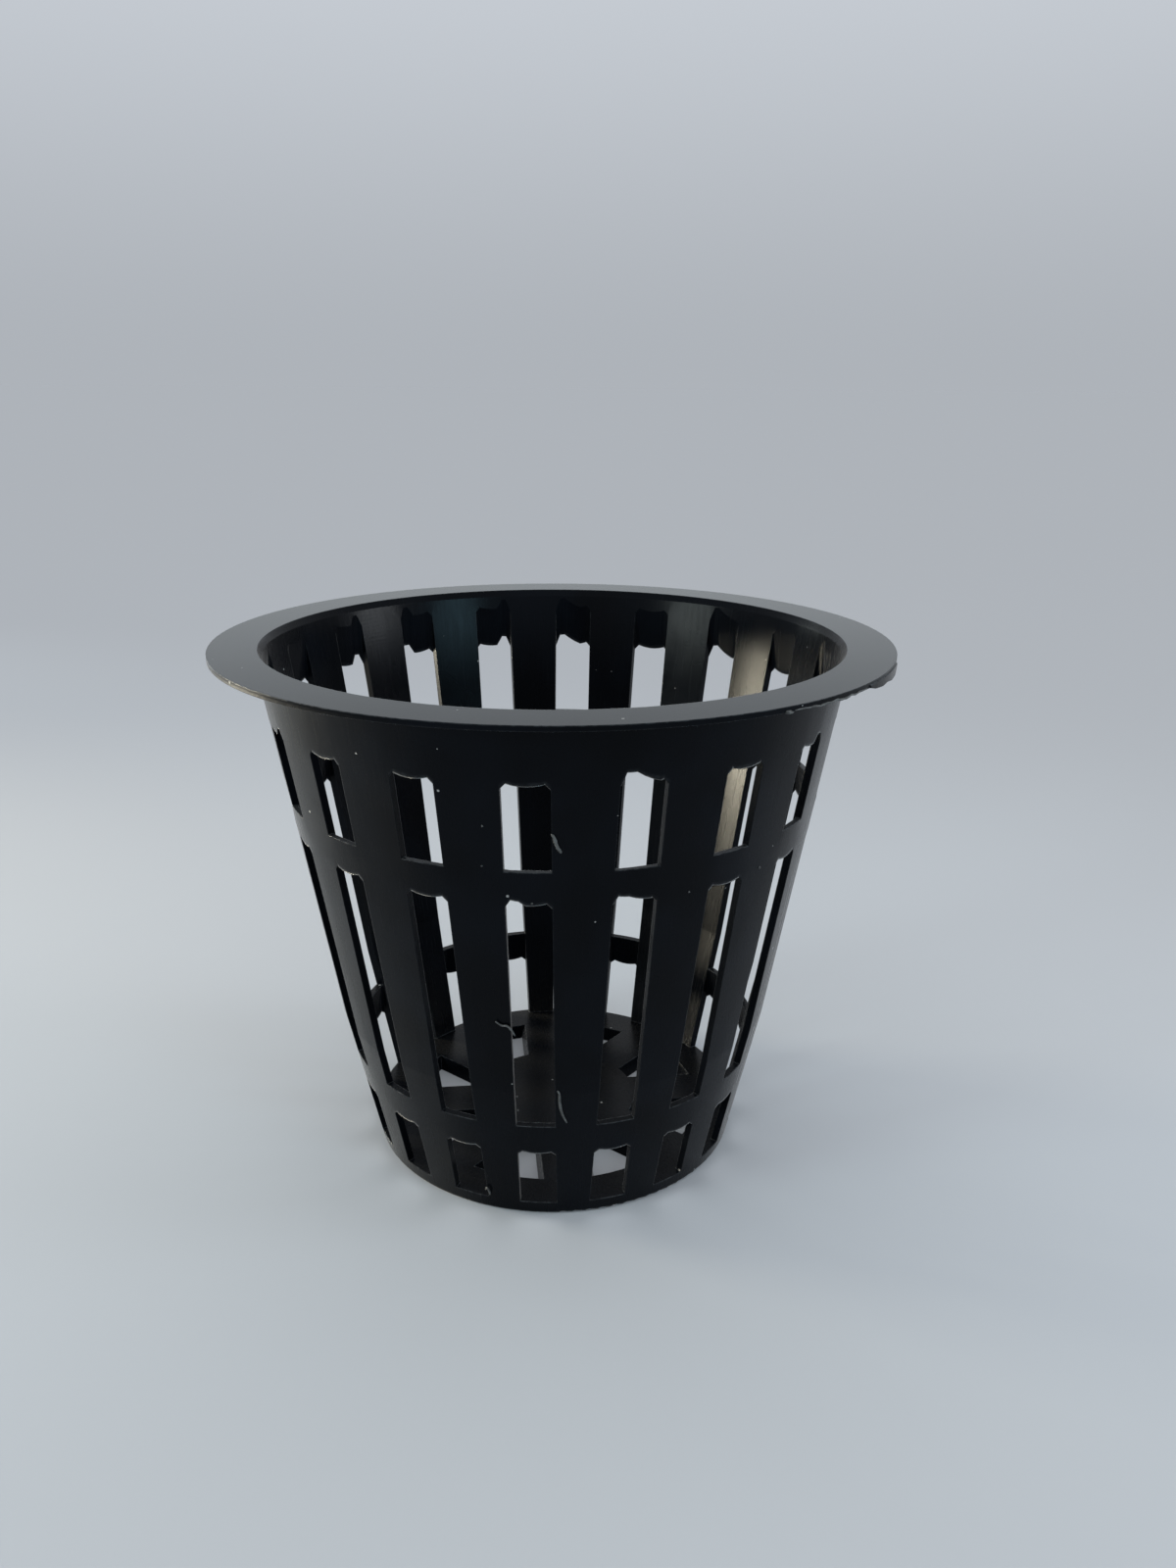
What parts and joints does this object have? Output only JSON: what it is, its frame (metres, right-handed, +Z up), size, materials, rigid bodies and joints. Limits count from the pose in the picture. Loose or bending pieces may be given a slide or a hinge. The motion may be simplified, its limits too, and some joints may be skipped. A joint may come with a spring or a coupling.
{
  "type": "net pot",
  "caption": "Tapered round basket cup with slotted walls, a slotted flat base and a wide flat rim that holds it in a round hole.",
  "frame": {"origin": "centre of the base's underside, on the pot's axis", "axes": "+Z up along the pot's axis, from the base to the rim; -Y is the front"},
  "size_m": [0.087, 0.087, 0.07],
  "materials": {
    "black_plastic": "semi-matt moulded polypropylene, satin wall and duller rim top"
  },
  "bodies": {
    "root": {"net_pot": "black_plastic"}
  },
  "joints": []
}
